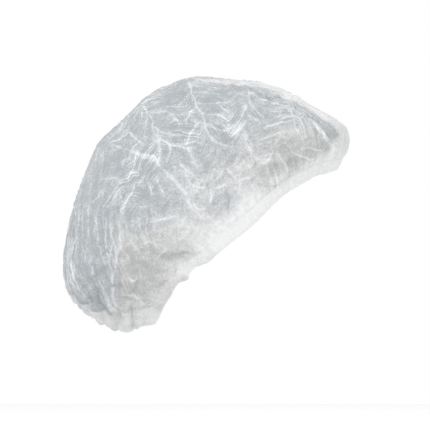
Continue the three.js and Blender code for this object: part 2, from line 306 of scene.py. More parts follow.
class CapSizes(bpy.types.PropertyGroup):
    length: metres("Length", "Smooth crown from back bulge to front tip", 0.2555, 0.1, 0.5)
    height: metres("Height", "Smooth crown from lowest edge to top", 0.228, 0.1, 0.5)
    half_width: metres("Half width", "From the middle to the widest place", 0.107, 0.05, 0.3)
    pleats: IntProperty(
        name="Pleats", description="Gathers round the hem", default=44, min=12, max=90,
    )
    pleat_depth: metres("Pleat depth", "How far a gather stands out", 0.0030, 0.0, 0.01)
    fold_step: metres(
        "Fold step", "From one slanting packing fold to the next", 0.0098, 0.004, 0.03,
    )
    hem_width: metres("Hem width", "Width of the folded hem", 0.012, 0.004, 0.03)
    hem_cloth: metres(
        "Hem cloth", "Thickness of the folded cloth of the hem", 0.0005, 0.0001, 0.002,
    )
    tuck_place: FloatProperty(
        name="Tuck", description="Place of the small tuck round the hem, from the front",
        default=0.358, min=0.0, max=1.0,
    )
    stitch_length: metres(
        "Stitch length", "From one stitch of the hem's seam to the next", 0.0032, 0.001, 0.01,
    )
    thread_radius: metres(
        "Thread radius", "Half the thickness of the seam's thread", 0.00016, 0.00005, 0.001,
    )
    sheet_diameter: metres(
        "Sheet diameter", "Across the round sheet before it is gathered", 0.508, 0.3, 0.8,
    )


class CapColours(bpy.types.PropertyGroup):
    cool: paint("Cool cloth", "Thin cloth of the upper crown", (0.424, 0.455, 0.476))
    warm: paint("Warm cloth", "Thin cloth of the lower crown", (0.585, 0.58, 0.575))
    pale: paint("Pale cloth", "Cloth where layers lie over one another", (0.945, 0.948, 0.952))
    # Dark cloth for thin places, and also painted shade: the shadows of the shade folds and the
    # darker fields turn to it.
    thin_and_shaded: paint("Thin places", "Cloth where its fibres lie thinnest", (0.33, 0.36, 0.385))
    elastic: paint("Elastic", "Covered rubber threads", (0.80, 0.79, 0.76))
    floor: paint("Floor", "Pale studio floor", (0.88, 0.88, 0.88))


def ease(share):
    f = np.clip(share, 0.0, 1.0)
    return f * f * (3.0 - 2.0 * f)


def bump(value, middle, reach):
    return np.exp(-(((value - middle) / reach) ** 2))


def scallop(angle, power):
    """Round ridges with sharp valleys between them."""
    return np.abs(np.cos(angle)) ** power


def shares(sizes, points):
    """Where points lie, as shares of the cap's length and height."""
    share_x = points[:, 0] / sizes.length + BEHIND_ORIGIN
    share_z = points[:, 2] / sizes.height + BELOW_ORIGIN
    return share_x, share_z


def level_at(up):
    last = len(LEVELS) - 1
    place = min(max(up, 0.0), 1.0) * last
    i = min(int(place), last - 1)
    f = place - i
    b, c = LEVELS[i], LEVELS[i + 1]
    a = LEVELS[i - 1] if i > 0 else 2 * b - c
    d = LEVELS[i + 2] if i + 2 <= last else 2 * c - b
    start = 2 * b + (c - a) * f
    values = 0.5 * (start + (2 * a - 5 * b + 4 * c - d) * f**2 + (3 * b - a - 3 * c + d) * f**3)
    return dict(zip(LEVEL_COLUMNS, values))


def hem_rise(along):
    index = np.clip(np.searchsorted(HEM_LINE[:, 0], along, side="right") - 1, 0, len(HEM_LINE) - 2)
    here, after = HEM_LINE[index], HEM_LINE[index + 1]
    eased = ease((along - here[:, 0]) / (after[:, 0] - here[:, 0]))
    return here[:, 1] + (after[:, 1] - here[:, 1]) * eased


def smooth_ring(sizes, up, count):
    """One ring of the smooth crown, corners evenly spaced, the right side first."""
    level = level_at(up)
    angle = np.linspace(0.0, math.pi, 361)
    across = np.abs(np.sin(angle)) ** (2 / FULLNESS)
    lengthwise = np.sign(np.cos(angle)) * np.abs(np.cos(angle)) ** (2 / FULLNESS)
    along = np.clip((1 - lengthwise) / 2 - level["forward"] * across**2, 0.0, 1.0)
    hem_fade = 1 - ease((up - STRIP_END) / 0.32)
    lift = level["rise"] * np.sin(math.pi * along) + hem_rise(along) * hem_fade
    drop = level["sag"] * np.sin(math.pi * along**SAG_BEND)
    share_x = level["front_x"] + (level["back_x"] - level["front_x"]) * along
    share_z = level["front_z"] + (level["back_z"] - level["front_z"]) * along + lift - drop
    fine = np.stack([
        (share_x - BEHIND_ORIGIN) * sizes.length,
        -level["wide"] * sizes.half_width * across,
        (share_z - BELOW_ORIGIN) * sizes.height,
    ], axis=1)
    steps = np.linalg.norm(np.diff(fine, axis=0), axis=1)
    lengths = np.concatenate([[0.0], np.cumsum(steps)])
    wanted = np.linspace(0.0, lengths[-1], count // 2 + 1)
    right = np.stack([np.interp(wanted, lengths, fine[:, k]) for k in range(3)], axis=1)
    left = right[1:-1][::-1] * np.array([1.0, -1.0, 1.0])
    return np.concatenate([right, left])


def ring_normals(ring, above, below):
    roundway = np.roll(ring, -1, axis=0) - np.roll(ring, 1, axis=0)
    normal = np.cross(above - below, roundway)
    return normal / np.maximum(np.linalg.norm(normal, axis=1, keepdims=True), 1e-12)


def waves(points, wavelength, seed, count=26):
    """Smooth unevenness between about -1 and 1, from seeded plane waves."""
    rng = np.random.default_rng(seed)
    ways = rng.normal(size=(count, 3))
    ways /= np.linalg.norm(ways, axis=1, keepdims=True)
    turns = 2 * math.pi / (wavelength * rng.uniform(0.7, 1.45, count))
    phases = rng.uniform(0.0, 2 * math.pi, count)
    total = np.zeros(len(points))
    for way, turn, phase in zip(ways, turns, phases):
        total += np.cos((points @ way) * turn + phase)
    return total / math.sqrt(count / 1.6)


def hem_strip(sizes, count):
    """The straight strip next to the hem line: its line, its ways up, its faces and its span."""
    edge = smooth_ring(sizes, 0.0, count)
    reach = smooth_ring(sizes, STRIP_END, count) - edge
    span = np.linalg.norm(reach, axis=1)
    ways = reach / span[:, None]
    faces = ring_normals(edge, edge + ways, edge)
    rounds = np.arange(count) / count
    tuck = TUCK_RISE * bump(rounds, sizes.tuck_place, 0.012)
    lobe = TUCK_LOBE * bump(rounds, sizes.tuck_place, 0.0042)
    turn = 2 * math.pi * sizes.pleats * 2 * rounds + 1.3 * np.sin(2 * math.pi * 7 * rounds)
    ruffle = EDGE_RUFFLE * np.cos(turn)
    line = edge + faces * (tuck + ruffle)[:, None] - ways * lobe[:, None]
    return line, ways, faces, span


class Sheet:
    """The crown's corners before they are folded, with their places round and up."""

    def __init__(self, sizes):
        self.counts = []
        spots, normals, rounds, ups = [], [], [], []
        for row in range(ROW_COUNT):
            up = row / ROW_COUNT
            count = SEGMENTS // next(step for end, step in RING_STEPS if up < end)
            ring, normal = self.ring(sizes, up, count)
            self.counts.append(count)
            spots.append(ring)
            normals.append(normal)
            rounds.append(np.arange(count) / count)
            ups.append(np.full(count, up))
        self.tip = smooth_ring(sizes, 1.0, 8)[0]
        self.spots = np.concatenate(spots)
        self.normals = np.concatenate(normals)
        self.rounds = np.concatenate(rounds)
        self.ups = np.concatenate(ups)
        self.starts = np.concatenate([[0], np.cumsum(self.counts)])

    def ring(self, sizes, up, count):
        """One ring's corners and the ways they face, straight next to the hem."""
        ring = smooth_ring(sizes, up, count)
        above = smooth_ring(sizes, up + 0.004, count)
        below = smooth_ring(sizes, max(up - 0.004, 0.0), count)
        normal = ring_normals(ring, above, below)
        if up < 0.16:
            line, ways, faces, span = hem_strip(sizes, count)
            strip = line + ways * (span * up / STRIP_END)[:, None]
            share = float(ease((up - 0.07) / 0.09))
            ring = strip * (1 - share) + ring * share
            normal = faces * (1 - share) + normal * share
            normal /= np.linalg.norm(normal, axis=1, keepdims=True)
        return ring, normal

    def faces(self):
        faces = []
        for row in range(len(self.counts) - 1):
            low, high = self.counts[row], self.counts[row + 1]
            a, b = self.starts[row], self.starts[row + 1]
            for k in range(high):
                after = (k + 1) % high
                if low == high:
                    faces.append((a + k, b + k, b + after, a + after))
                else:
                    left, middle, right = 2 * k, 2 * k + 1, (2 * k + 2) % low
                    faces.append((a + left, b + k, a + middle))
                    faces.append((a + middle, b + k, b + after))
                    faces.append((a + middle, b + after, a + right))
        last, top = self.starts[len(self.counts) - 1], len(self.spots)
        for k in range(self.counts[-1]):
            faces.append((last + k, top, last + (k + 1) % self.counts[-1]))
        return faces


def top_line(sizes):
    """The crown's middle profile as x and z, sorted from back to front."""
    front = np.array([smooth_ring(sizes, up, 8)[0] for up in np.linspace(0.2, 1.0, 60)])
    back = np.array([smooth_ring(sizes, up, 8)[4] for up in np.linspace(0.42, 1.0, 60)])
    profile = np.concatenate([front, back])
    profile = profile[np.argsort(profile[:, 0])]
    return profile[:, 0], profile[:, 2]


def packing_folds(sizes, points, side):
    """Herringbone folds: relief (0 to 1), running count, distance to a spine, depth and way down."""
    line_x, line_z = top_line(sizes)
    warp = 0.0024 * waves(points, 0.050, 11) + 0.0007 * waves(points, 0.014, 12)
    warp_x = 0.0032 * waves(points, 0.060, 13) + 0.0008 * waves(points, 0.014, 14)
    drop = np.interp(points[:, 0], line_x, line_z) - points[:, 2]
    down = np.hypot(drop, 0.75 * points[:, 1])
    x = points[:, 0] / sizes.length + BEHIND_ORIGIN + warp_x / sizes.length
    relief = np.zeros(len(points))
    turns = np.zeros(len(points))
    nearest = np.full(len(points), 1.0)
    for k, (spine, ahead) in enumerate(zip(SPINES, SPINES[1:])):
        low = spine["x"] + spine["lean"] * (drop / sizes.length)
        high = ahead["x"] + ahead["lean"] * (drop / sizes.length)
        share = (x - low) / np.maximum(high - low, 0.02)
        inside = (share >= 0) & (share < 1)
        valley = spine["valley"]
        slope = np.where(share < valley, share / valley, (1 - share) / (1 - valley))
        fall = spine["fall"] / MILLIMETRES * slope
        turn = (down + warp - fall) / sizes.fold_step + spine["shift"] + 0.23 * side + 10 * k
        nearness = np.abs(turn - np.floor(turn) - 0.5) * 2
        strength = 0.55 + 0.45 * np.sin(6.1 * np.floor(turn + 0.5) + 2.3 * k)
        relief = np.where(inside, nearness * (0.45 + 0.55 * strength), relief)
        turns = np.where(inside, turn, turns)
        off = (x - low) * sizes.length
        nearest = np.where(np.abs(off) < np.abs(nearest), off, nearest)
    return relief, turns, nearest, drop, down


def fold_curves(sizes, sheet):
    """Each fold of the table as a bow of places on the right side of the crown."""
    points = sheet.spots[sheet.spots[:, 1] < 0.0]
    origin = np.array([BEHIND_ORIGIN, BELOW_ORIGIN])
    size = np.array([sizes.length, sizes.height])
    found = []
    for row in [row for rows in FOLDS.values() for row in rows]:
        spots = dict(zip(FOLD_COLUMNS, row))
        start, middle, end = (
            (np.array([spots["x" + place], spots["z" + place]]) - origin) * size
            for place in "012"
        )
        pull = 2 * middle - (start + end) / 2
        f = np.linspace(0.0, 1.0, 15)[:, None]
        flat = (1 - f) ** 2 * start + 2 * f * (1 - f) * pull + f**2 * end
        curve = []
        for spot in flat:
            miss = np.sum((points[:, ::2] - spot) ** 2, axis=1)
            miss = miss - 0.00004 * np.abs(points[:, 1]) / sizes.half_width
            close = np.argpartition(miss, 6)[:6]
            weight = 1 / (miss[close] - miss[close].min() + 0.0000004)
            y = np.sum(points[close, 1] * weight) / weight.sum()
            curve.append((spot[0], y, spot[1]))
        found.append(np.array(curve))
    return found


def share_out(curves):
    """A lane for each fold, so that folds which meet lie in different lanes."""
    lanes = [[] for name in FOLD_LANES]
    chosen = []
    for curve in curves:
        gaps = []
        for lane in lanes:
            others = np.concatenate(lane) if lane else np.full((1, 3), 9.0)
            gaps.append(np.linalg.norm(curve[:, None] - others[None], axis=2).min())
        chosen.append(int(np.argmax(gaps)))
        lanes[chosen[-1]].append(curve)
    return chosen


def distance_to_curve(points, normals, curve):
    """Distance to a curve, with its sign by side, and the place along it."""
    best = np.full(len(points), 1.0)
    signed = np.full(len(points), 1.0)
    share = np.zeros(len(points))
    spans = len(curve) - 1
    for i in range(spans):
        start, way = curve[i], curve[i + 1] - curve[i]
        square = max(float(way @ way), 1e-12)
        f = np.clip(((points - start) @ way) / square, 0.0, 1.0)
        off = points - (start + f[:, None] * way)
        miss = np.linalg.norm(off, axis=1)
        hand = np.sign(np.sum(np.cross(way, off) * normals, axis=1))
        closer = miss < best
        best = np.where(closer, miss, best)
        signed = np.where(closer, miss * hand, signed)
        share = np.where(closer, (i + f) / spans, share)
    return signed, share


def pale_border(points, share_x, share_z, wobble):
    """How far each place lies in the border where two layers meet, from 0 to 1."""
    above = ease((share_z - np.interp(share_x, *BORDER_TOP.T) + 0.3 * wobble) / 0.014 + 0.5)
    beneath = ease((np.interp(share_x, *BORDER_HEM.T) - share_z + 0.5 * wobble) / 0.018 + 0.5)
    beyond = ease((share_x - 0.962) / 0.010 + 0.5)
    inward = 0.020 * (1 - ease((share_x - 0.62) / 0.12))
    above = above * ease((np.abs(points[:, 1]) - inward) / 0.022) * ease((share_x - 0.42) / 0.10)
    border = np.maximum(above * (0.82 + 0.18 * ease((share_x - 0.66) / 0.10)), beyond)
    return np.maximum(border, beneath * ease((share_x - 0.66) / 0.05))


def cloth_tones(sizes, points, ups):
    """How pale and how cool the cloth looks at each corner."""
    share_x, share_z = shares(sizes, points)
    wobble = 0.010 * waves(points, 0.022, 62)
    pale = 0.04 + 0.06 * waves(points, 0.03, 61) + 0.05 * waves(points, 0.012, 64)
    cool = np.full(len(points), 0.95)
    for field in FIELDS:
        off_x = (share_x - field["x"]) * sizes.length * MILLIMETRES / field["reach_x"]
        off_z = (share_z - field["z"]) * sizes.height * MILLIMETRES / field["reach_z"]
        weight = np.exp(-(off_x**2 + off_z**2))
        pale = pale + field["pale"] * weight
        cool = cool + field["cool"] * weight
    reach = 0.15 - 0.08 * ease((share_x - 0.66) / 0.14)
    lower = 1 - ease((ups - HEM_TOP) / reach)
    frontness = ease((share_x - 0.33) / 0.12)
    pale = pale + (0.24 + 0.36 * frontness) * lower
    cool = cool - 0.6 * lower
    behind = ease((share_x + 0.3 * wobble - 0.188) / 0.009)
    behind = behind * (1 - ease((share_z + wobble - 0.34) / 0.10))
    below = 1 - ease((share_z + wobble - np.interp(share_x, *LAYER_EDGE.T)) / 0.011)
    below = below * (1 - ease((share_x - 0.30) / 0.08))
    cool = cool - 0.95 * np.maximum(behind, below)
    pale = pale + 0.44 * below
    border = pale_border(points, share_x, share_z, wobble)
    pale = pale + (0.64 + 0.30 * pale - pale) * 0.8 * border
    cool = cool * (1 - 0.85 * border)
    return np.clip(pale, -0.2, 1), np.clip(cool, 0, 1)


def gather_height(sizes, sheet, near, side):
    """The pleats that rise from the hem and fade towards the top."""
    points, rounds, ups = sheet.spots, sheet.rounds, sheet.ups
    backness = ease((near - 0.30) / 0.14)
    phase = 2 * math.pi * sizes.pleats * rounds
    phase = phase + 1.1 * np.sin(2 * math.pi * 5 * rounds + 0.8 + side)
    phase = phase + 0.7 * np.sin(2 * math.pi * 11 * rounds + 2.1 * side)
    phase = phase + 0.8 * waves(points, 0.05, 21)
    pleat = scallop(phase / 2, 0.8) * 2 - 1.25
    fine_pleat = scallop(phase + 0.6 * waves(points, 0.03, 22), 0.8) * 2 - 1.25
    reach = 0.30 + 0.34 * backness
    depth = ease(ups / 0.22) * (1 - ease((ups - reach * 0.45) / (reach * 0.85)))
    uneven = 0.80 + 0.35 * waves(points, 0.08, 23)
    hem_near = 1 - ease((ups - 0.10) / 0.16)
    middle_calm = 1 - 0.45 * bump(near, 0.22, 0.09)
    height = sizes.pleat_depth * pleat * depth * uneven * middle_calm * (0.75 + 0.35 * backness)
    return height + FINE_GATHER * fine_pleat * (0.35 * depth + 0.65 * hem_near)


def hanging_folds(sizes, sheet, share_x, share_z):
    """Folds that hang down the back: their running count and where they show."""
    points = sheet.spots
    back = ease((0.36 - share_x) / 0.10) * ease((0.56 - share_z) / 0.10)
    back = np.maximum(back, 0.55 * ease((0.22 - share_x) / 0.08) * ease((0.84 - share_z) / 0.12))
    behind = -points[:, 0] - 0.03
    slant = 0.10 * ease((0.25 - share_z) / 0.2) * (0.14 - share_x) * sizes.length
    drape = (0.125 * np.arctan2(points[:, 1], behind) + slant) / HANG_STEP
    drape = drape + 0.40 * waves(points, 0.07, 25) + 0.07 * waves(points, 0.02, 26)
    return drape, back * ease((sheet.ups - 0.07) / 0.08) * ease((share_z - 0.09) / 0.09)


def ruffle_height(sheet, share_x):
    """Ruffles under the back, only where the crown faces down."""
    points = sheet.spots
    under = ease((-sheet.normals[:, 2] - 0.55) / 0.25) * ease((0.34 - share_x) / 0.10)
    turn = points[:, 0] / RUFFLE_STEP + 0.30 * waves(points, 0.045, 27)
    ruffle = scallop(math.pi * turn, 0.8)
    return UNDER_RUFFLE * (ruffle - 0.62) * under * ease((sheet.ups - HEM_TOP) / 0.05)


def press_folds(sizes, sheet, free, height, crease):
    """Adds the single folds to height and crease, and returns the lines of their lanes."""
    points = sheet.spots
    lane_off = np.full((len(FOLD_LANES), len(points)), 3.0)
    lane_bright = np.zeros((len(FOLD_LANES), len(points)))
    curves = fold_curves(sizes, sheet)
    places = points + 0.0005 * waves(points, 0.02, 51)[:, None]
    kinds = [FOLD_KINDS[kind] for kind, rows in FOLDS.items() for row in rows]
    for kind, curve, lane in zip(kinds, curves, share_out(curves)):
        high, width, line, bright = kind
        length = np.linalg.norm(np.diff(curve, axis=0), axis=1).sum()
        for side_sign in (-1.0, 1.0):
            mirrored = curve * np.array([1.0, -side_sign, 1.0])
            inside = (points > mirrored.min(axis=0) - FOLD_MARGIN)
            inside &= (points < mirrored.max(axis=0) + FOLD_MARGIN)
            close = np.flatnonzero(inside.all(axis=1))
            off, share = distance_to_curve(places[close], sheet.normals[close], mirrored)
            miss = np.abs(off) * MILLIMETRES
            ends = ease(share * length / FOLD_END + 0.12)
            ends = ends * ease((1 - share) * length / FOLD_END + 0.12)
            sharp = np.clip(1 - miss / width, 0, 1) ** 1.5
            height[close] += high / MILLIMETRES * sharp * ends * free[close]
            # A shade fold's negative brightness paints its shadow as a dark line, in the crease
            # field and in its lane.
            crease[close] += 0.14 * bright * bump(miss, 0.0, line * 1.5) * ends
            gate = np.clip((line + 1.9 - miss) / 1.4, 0, 1)
            nearer = (gate > 0) & (miss / line < np.abs(lane_off[lane, close]))
            lane_off[lane, close[nearer]] = (off * MILLIMETRES / line)[nearer]
            lane_bright[lane, close[nearer]] = (bright * ends * gate)[nearer]
    lanes = {}
    for name, off, bright in zip(FOLD_LANES, lane_off, lane_bright):
        lanes[name + "_off"] = off
        lanes[name + "_bright"] = bright
    return lanes


def crown_relief(sizes, sheet):
    """How far each corner stands out, and the fields that the crown's cloth is coloured by."""
    points, rounds, ups = sheet.spots, sheet.rounds, sheet.ups
    side = np.where(points[:, 1] > 0, 1.0, 0.0)
    near = np.minimum(rounds, 1 - rounds)
    share_x, share_z = shares(sizes, points)
    free = ease((ups - HEM_TOP) / 0.07)
    height = gather_height(sizes, sheet, near, side)

    relief, turns, spine_off, drop, down = packing_folds(sizes, points, side)
    in_height = 1 - ease((down - 0.094) / 0.040)
    in_length = ease((share_x - 0.13) / 0.10) * (1 - ease((share_x - 0.88) / 0.08))
    zone = in_height * in_length * ease((ups - 0.16) / 0.12)
    patch = np.clip(0.75 + 0.35 * waves(points, 0.055, 31), 0.2, 1.1)
    spines = bump(spine_off, 0.0, SPINE_REACH)
    height = height + PACKING_FOLD * (relief - 0.5) * zone * patch
    height = height + SPINE_RIDGE * spines * zone
    crease = 0.06 * spines * zone * patch

    drape, hung = hanging_folds(sizes, sheet, share_x, share_z)
    hang = scallop(math.pi * drape, 0.75)
    height = height * (1 - 0.75 * hung) + HANGING_FOLD * (hang - 0.55) * hung
    height = height + ruffle_height(sheet, share_x)

    small = waves(points * np.array([1.0, 0.7, 1.2]), 0.017, 41)
    smaller = waves(points, 0.0075, 42)
    ridges = WRINKLE * (1 - np.abs(small)) + FINE_WRINKLE * (1 - np.abs(smaller))
    calm = 1 - 0.7 * bump(share_x, 0.62, 0.12) * bump(share_z, 0.33, 0.10)
    height = height + ridges * free * calm - WRINKLE_MEAN * free

    lanes = press_folds(sizes, sheet, free, height, crease)
    height = height * ease((ups - 0.075) / 0.05) + RISE_OVER_HEM * bump(ups, 0.105, 0.035)
    pale, cool = cloth_tones(sizes, points, ups)
    near_top = 1 - ease((drop - 0.006) / 0.014)
    hidden = 1 - ease((np.abs(points[:, 1]) - 0.045) / 0.020)
    return height, lanes | {
        "crease": np.clip(crease, -1, 1.4),
        "pale": pale,
        "cool": cool,
        "fold_turn": turns,
        "spine_off": np.clip(spine_off * MILLIMETRES, -3, 3),
        "spine_zone": zone * patch * (np.abs(spine_off) < 0.003),
        "fold_zone": zone * patch * (1 + 0.3 * near_top),
        "drape": drape,
        "drape_zone": hung * (1 + 1.1 * hidden),
        "wrinkle": small,
        "wrinkle_fine": smaller,
        "wavy_zone": bump(share_x, 0.56, 0.17) * bump(share_z, 0.53, 0.13) * free,
        "ring_x": 0.1 * np.cos(2 * math.pi * rounds),
        "ring_y": 0.1 * np.sin(2 * math.pi * rounds),
        "gather_zone": (1 - ease((ups - 0.10) / 0.22)) * (0.35 + 0.65 * ease((share_x - 0.3) / 0.2)),
    }


def make_piece(name, corners, faces, smooth=True):
    mesh = bpy.data.meshes.new(name)
    mesh.from_pydata([tuple(p) for p in corners], [], faces)
    mesh.validate()
    if smooth:
        mesh.shade_smooth()
    piece = bpy.data.objects.new(name, mesh)
    bpy.context.scene.collection.objects.link(piece)
    return piece


def add_field(piece, name, values):
    layer = piece.data.attributes.new(name, "FLOAT", "POINT")
    layer.data.foreach_set("value", np.asarray(values, dtype=np.float32))


class Socket:
    """A shader value that Python's own signs can reckon with."""

    def __init__(self, shop, link):
        self.shop = shop
        self.link = link

    def _math(self, operation, *others):
        values = dict(enumerate(others))
        return self.shop.node("ShaderNodeMath", {"operation": operation}, values)

    def __add__(self, other):
        return self._math("ADD", self, other)

    def __radd__(self, other):
        return self._math("ADD", other, self)

    def __sub__(self, other):
        return self._math("SUBTRACT", self, other)

    def __rsub__(self, other):
        return self._math("SUBTRACT", other, self)

    def __mul__(self, other):
        return self._math("MULTIPLY", self, other)

    def __rmul__(self, other):
        return self._math("MULTIPLY", other, self)

    def whole(self):
        return self._math("FLOOR", self)

    def size(self):
        return self._math("ABSOLUTE", self)

    def clamp(self, low=0.0, high=1.0):
        raised = self._math("MAXIMUM", self, low)
        return self._math("MINIMUM", raised, high)

    def line(self, sharpness):
        """1 where the value is nought, falling to 0 on both sides."""
        return (1.0 - self.size() * sharpness).clamp()


class Shop:
    """Makes the nodes of one material."""

    def __init__(self, name):
        self.material = bpy.data.materials.new(name)
        self.material.use_nodes = True
        self.tree = self.material.node_tree
        self.tree.nodes.clear()

    def node(self, kind, settings=None, values=None, out=0):
        node = self.tree.nodes.new(kind)
        for key, value in (settings or {}).items():
            setattr(node, key, value)
        for key, value in (values or {}).items():
            socket = node.inputs[key]
            if isinstance(value, Socket):
                self.tree.links.new(value.link, socket)
            else:
                socket.default_value = value
        return Socket(self, node.outputs[out])

    def place(self):
        return self.node("ShaderNodeTexCoord", out="Object")

    def field(self, name):
        return self.node("ShaderNodeAttribute", {"attribute_name": name}, out="Fac")

    def vector(self, x, y, z):
        return self.node("ShaderNodeCombineXYZ", {}, {0: x, 1: y, 2: z})

    def noise(self, place, scale, **values):
        named = {name.capitalize(): value for name, value in values.items()}
        return self.node("ShaderNodeTexNoise", {}, {"Vector": place, "Scale": scale, **named})

    def mix(self, share, first, second):
        settings = {"data_type": "RGBA", "blend_type": "MIX"}
        return self.node("ShaderNodeMix", settings, {0: share, 6: first, 7: second}, out=2)

    def bump(self, strength, distance, height):
        values = {"Strength": strength, "Distance": distance, "Height": height}
        return self.node("ShaderNodeBump", {}, values)

    def surface(self, values):
        return self.node("ShaderNodeBsdfPrincipled", {}, values)

    def finish(self, shader):
        end = self.tree.nodes.new("ShaderNodeOutputMaterial")
        self.tree.links.new(shader.link, end.inputs["Surface"])
        return self.material


def opaque(colour, share=1.0):
    return tuple(part * share for part in colour) + (1.0,)


def fibre_patterns(shop):
    """Fibres, curled strands, clumps and crinkles of the non-woven, from 1 to 12 mm."""
    place = shop.place()
    fine = shop.noise(place, 620.0, detail=2.0, roughness=0.6, distortion=0.8)
    curls = shop.noise(place, 300.0, detail=1.0, roughness=0.5, distortion=3.0)
    clumps = shop.noise(place, 85.0, detail=3.0, roughness=0.62, distortion=0.6)
    crinkles = shop.noise(place, 135.0, detail=2.0, roughness=0.5, distortion=2.2)
    return fine, (curls - 0.5).line(11.0), clumps, (crinkles - 0.5).line(14.0)


def single_folds(shop, unrest, shown):
    """The lines of the single folds, lane by lane, pale ones added and the dark ones, painted
    shadows of the shade folds, taken off.
    """
    total = 0.0
    for lane in FOLD_LANES:
        off = shop.field(lane + "_off") + (unrest - 0.5) * 0.7
        total = (1.15 - off.size()).clamp() * shop.field(lane + "_bright") + total
    return (total * (shown * 0.20 + 0.32)).clamp(-0.6, 0.56)


def fold_lines(shop):
    """Thin pale lines where the cloth was sharply creased, dark lines of painted fold shadow, and
    its streaks and gathers.
    """
    place = shop.place()
    x = shop.node("ShaderNodeSeparateXYZ", {}, {0: place})
    z = Socket(shop, x.link.node.outputs["Z"])
    unrest = shop.noise(place, 110.0, detail=2.0)
    shown = ((shop.noise(place, 48.0, detail=1.0) - 0.30) * 3.4).clamp(0.35, 1.0)

    turn = shop.field("fold_turn") + (unrest - 0.5) * 0.16
    count = (turn + 0.5).whole()
    chance = shop.node(
        "ShaderNodeTexWhiteNoise", {"noise_dimensions": "1D"}, {"W": count}, out="Value",
    )
    main = (turn - count).line(9.0) * (chance * 0.5 + 0.6)
    minor = (turn * 2.0 - (turn * 2.0).whole() - 0.5).line(7.0) * 0.30
    zone = shop.field("fold_zone")
    spine = (shop.field("spine_off") + (unrest - 0.5) * 1.6).line(1.1)
    folds = (main + minor * 2.0) * shown * zone * 0.80
    folds = folds + spine * shop.field("spine_zone") * shown * 0.16
    folds = folds + single_folds(shop, unrest, shown)

    drape = shop.field("drape") + (unrest - 0.5) * 0.3
    hung = shop.field("drape_zone")
    across = shop.noise(shop.vector(turn * 4.2, x * 26.0, 0.0), 1.0, detail=2.0)
    along = shop.noise(shop.vector(drape * 3.2, z * 13.0, 0.0), 1.0, detail=2.0)
    loose = (1.0 - zone).clamp() * (hung * 0.75 + 0.25)
    streaks = (across - 0.5).line(13.0) * zone + (along - 0.5).line(13.0) * loose
    hangs = (drape + 0.5 - (drape + 0.5).whole() - 0.5).line(8.0) * hung * shown

    ring = shop.vector(shop.field("ring_x"), shop.field("ring_y"), x * 0.08)
    gathers = shop.noise(ring, 420.0, detail=2.0, roughness=0.6)
    gathers = (gathers - 0.5) * shop.field("gather_zone")
    wavy = shop.field("wavy_zone")
    thin = shop.field("wrinkle").line(7.0) * (wavy + 0.34)
    thinner = shop.field("wrinkle_fine").line(5.0) * (wavy + 0.30)
    return folds, hangs, thin + thinner * 0.4, streaks, gathers


def cloth_material(name, colours, folded):
    shop = Shop(name)
    fine, strands, clumps, crinkles = fibre_patterns(shop)
    density = shop.field("pale") + (strands - 0.40) * 0.30 + (fine - 0.5) * 1.2
    density = density + (clumps - 0.5) * 0.70 + (crinkles - 0.30) * 0.22
    if folded:
        folds, hangs, thin, streaks, gathers = fold_lines(shop)
        # The crease field and the folds add pale crease lines and take off the painted shadows of
        # the shade folds.
        density = density + shop.field("crease") * 0.45 + folds + hangs * 0.18
        density = density + thin * 0.26 + (streaks - 0.28) * 0.34 + gathers * 1.15
    density = density.clamp(-0.35, 1.0)
    thin_cloth = shop.mix(shop.field("cool"), opaque(colours.warm), opaque(colours.cool))
    colour = shop.mix(density.clamp(), thin_cloth, opaque(colours.pale))
    # Below nought the density turns to the dark cloth: thin places and painted fold shadow.
    colour = shop.mix((0.0 - density).clamp() * 1.1, colour, opaque(colours.thin_and_shaded))
    relief = shop.bump(0.30, 0.0004, fine * 0.6 + strands * 0.5 + clumps * 0.5)
    body = shop.surface({
        "Base Color": colour, "Roughness": (0.92 - density * 0.15).clamp(),
        "Alpha": (0.93 + density * 0.25).clamp(), "Normal": relief,
        "Specular IOR Level": 0.22, "Sheen Weight": 0.15, "Sheen Roughness": 0.5,
    })
    tint = tuple((2 * a + b) / 3 for a, b in zip(colours.cool, colours.pale)) + (1.0,)
    through = shop.node("ShaderNodeBsdfTranslucent", {}, {"Color": tint, "Normal": relief})
    return shop.finish(shop.node("ShaderNodeMixShader", {}, {0: 0.22, 1: body, 2: through}))


def thread_material(name, colour):
    shop = Shop(name)
    twist = shop.noise(shop.place(), 1500.0, detail=2.0, roughness=0.5)
    tint = shop.mix(twist, opaque(colour, 0.82), opaque(colour))
    values = {"Base Color": tint, "Roughness": 0.6, "Specular IOR Level": 0.35}
    return shop.finish(shop.surface(values))


def elastic_material(name, colour):
    shop = Shop(name)
    place = shop.place()
    ribs = shop.node(
        "ShaderNodeTexWave", {"wave_type": "BANDS", "bands_direction": "Z"},
        {"Vector": place, "Scale": 160.0, "Distortion": 1.2, "Detail": 1.0},
    )
    fuzz = shop.noise(place, 900.0, detail=3.0, roughness=0.6)
    share = (ribs * 0.5 + fuzz * 0.5).clamp()
    body = shop.surface({
        "Base Color": shop.mix(share, opaque(colour, 0.78), opaque(colour)), "Roughness": 0.75,
        "Normal": shop.bump(0.5, 0.0003, share), "Specular IOR Level": 0.3,
    })
    return shop.finish(body)


def floor_material(name, colour):
    shop = Shop(name)
    grain = shop.noise(shop.place(), 30.0)
    tint = shop.mix(grain, opaque(colour, 0.98), opaque(colour))
    return shop.finish(shop.surface({"Base Color": tint, "Roughness": 0.9}))


class CAP_OT_crown(bpy.types.Operator):
    """Make the gathered sheet of the crown with its pleats and packing folds"""

    bl_idname = "cap.crown"
    bl_label = "Make Crown"

    def execute(self, context):
        sizes, colours = context.scene.cap_sizes, context.scene.cap_colours
        sheet = Sheet(sizes)
        height, fields = crown_relief(sizes, sheet)
        corners = sheet.spots + sheet.normals * height[:, None]
        corners = np.concatenate([corners, sheet.tip[None, :]])
        piece = make_piece("crown_sheet", corners, sheet.faces())
        for name, values in fields.items():
            add_field(piece, name, np.append(values, values[-1]))
        piece.data.materials.append(cloth_material("nonwoven_crown", colours, True))
        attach(piece, "root")
        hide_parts("crown")
        return {"FINISHED"}


